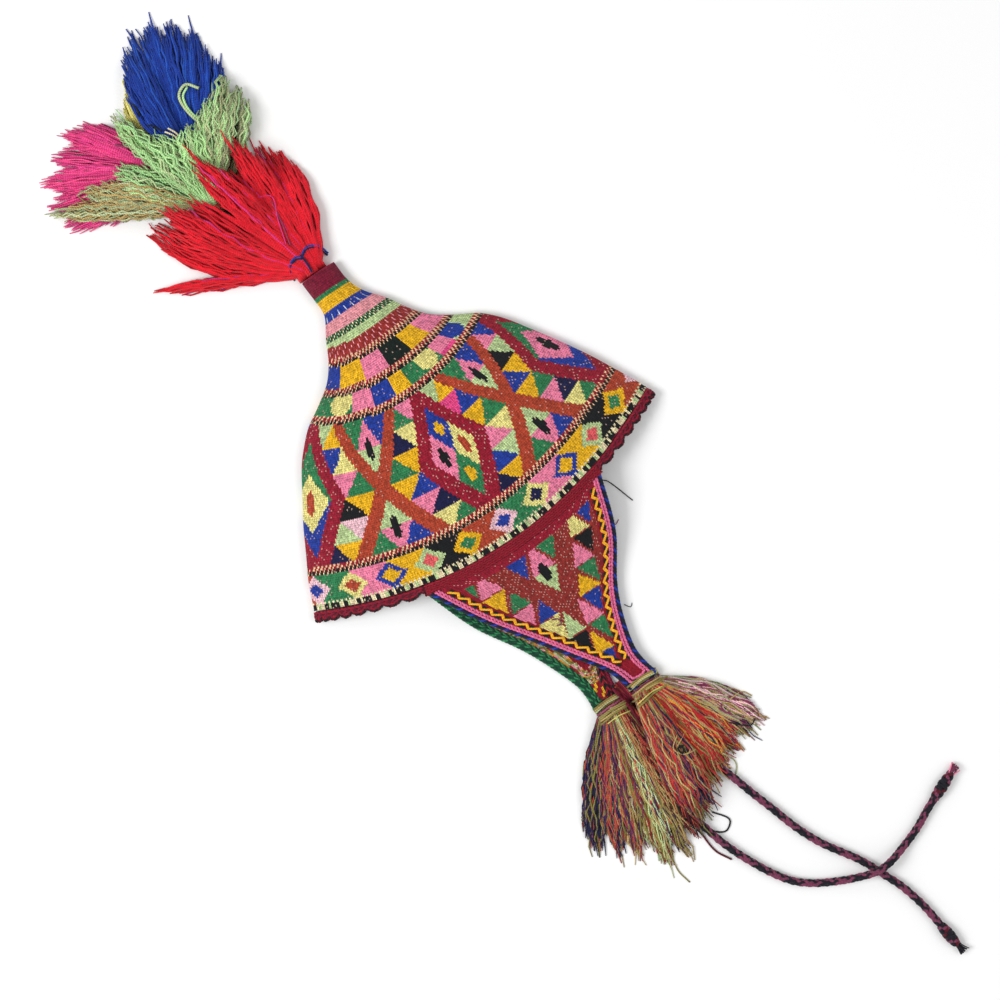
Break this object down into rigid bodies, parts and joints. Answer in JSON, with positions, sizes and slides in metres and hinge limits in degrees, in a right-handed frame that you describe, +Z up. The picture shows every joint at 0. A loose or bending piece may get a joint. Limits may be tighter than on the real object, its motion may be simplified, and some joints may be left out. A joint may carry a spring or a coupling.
{
  "type": "knitted earflap hat",
  "caption": "Knitted earflap hat lying flat on its side: patterned hollow crown with a narrow neck, bound ear flaps, yarn tassels and plaited ties.",
  "frame": {"origin": "on the crown's flat underside, midway between the two corners of the rim", "axes": "+Y along the hat from the rim to the neck and its tassels, +X across the hat, +Z up from the surface it lies on"},
  "size_m": [0.2991, 0.8217, 0.0361],
  "materials": {
    "crown_knit": "patterned wool knit",
    "edging_yarn": "crocheted wool",
    "flap_knit": "patterned wool knit",
    "binding_yarn": "plaited wool",
    "mixed_yarn": "loose wool yarn of many colours",
    "tie_yarn": "plaited wool",
    "red_yarn": "loose wool yarn",
    "green_yarn": "loose wool yarn",
    "pink_yarn": "loose wool yarn",
    "blue_yarn": "loose wool yarn",
    "yellow_yarn": "loose wool yarn"
  },
  "bodies": {
    "root": {"crown": "crown_knit", "rim_edging": "edging_yarn", "upper_ear_flap": "flap_knit", "upper_flap_binding": "binding_yarn", "lower_ear_flap": "flap_knit", "lower_flap_binding": "binding_yarn", "upper_flap_tassel": "mixed_yarn", "lower_flap_tassel": "mixed_yarn", "upper_tie": "tie_yarn", "upper_tie_knot": "tie_yarn", "lower_tie": "tie_yarn", "lower_tie_knot": "tie_yarn", "red_tassel": "red_yarn", "green_tassel": "green_yarn", "pink_tassel": "pink_yarn", "blue_tassel": "blue_yarn", "yellow_tassel": "yellow_yarn"}
  },
  "joints": []
}
